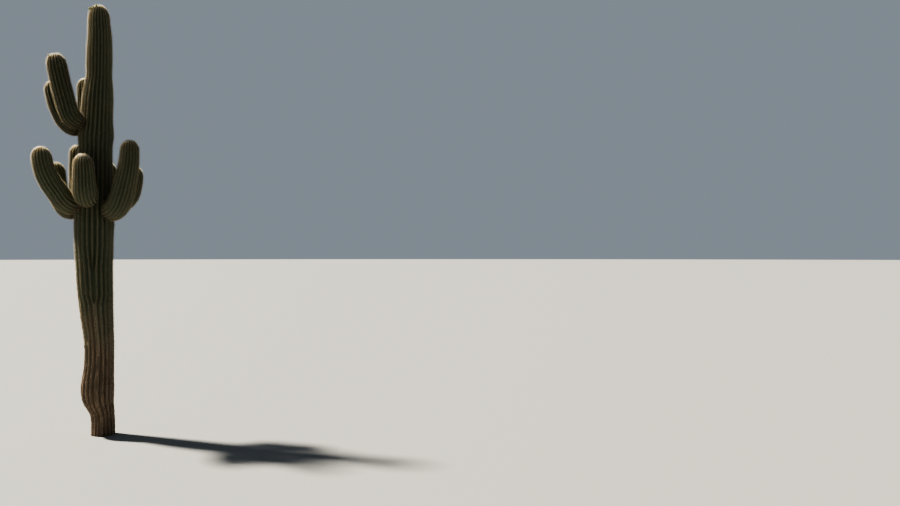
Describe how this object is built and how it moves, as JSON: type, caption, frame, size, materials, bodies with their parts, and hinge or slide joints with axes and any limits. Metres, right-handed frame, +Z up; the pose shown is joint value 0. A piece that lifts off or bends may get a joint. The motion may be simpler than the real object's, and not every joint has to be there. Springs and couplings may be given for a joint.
{
  "type": "saguaro cactus",
  "caption": "Tall columnar desert cactus with a ribbed trunk, a whorl of long ribbed arms near the middle, a smaller one above, rounded tips and small flower buds.",
  "frame": {"origin": "middle of the flat cut under the trunk, at ground level", "axes": "+Z up along the trunk, -Y to the plant's front as pictured, +X to its right"},
  "size_m": [1.559, 1.2894, 6.582],
  "materials": {
    "trunk_skin": "waxy olive-brown ribbed skin, corky and grey-brown near the ground",
    "arm_skin": "waxy olive-green ribbed skin with duller crests",
    "spines": "dry grey to straw-coloured spines, satin",
    "areoles": "short matt felt, cream at the tips and grey-brown below",
    "buds": "scaly yellow-green buds with cream tops"
  },
  "bodies": {
    "root": {"trunk": "trunk_skin", "upper_left_front_elbow": "arm_skin", "upper_left_front_arm": "arm_skin", "upper_left_back_elbow": "arm_skin", "upper_left_back_arm": "arm_skin", "upper_back_elbow": "arm_skin", "upper_back_arm": "arm_skin", "lower_left_front_elbow": "arm_skin", "lower_left_front_arm": "arm_skin", "lower_left_back_elbow": "arm_skin", "lower_left_back_arm": "arm_skin", "lower_back_left_elbow": "arm_skin", "lower_back_left_arm": "arm_skin", "lower_front_elbow": "arm_skin", "lower_front_arm": "arm_skin", "lower_right_front_elbow": "arm_skin", "lower_right_front_arm": "arm_skin", "lower_right_back_elbow": "arm_skin", "lower_right_back_arm": "arm_skin", "lower_back_right_elbow": "arm_skin", "lower_back_right_arm": "arm_skin"}
  },
  "joints": []
}
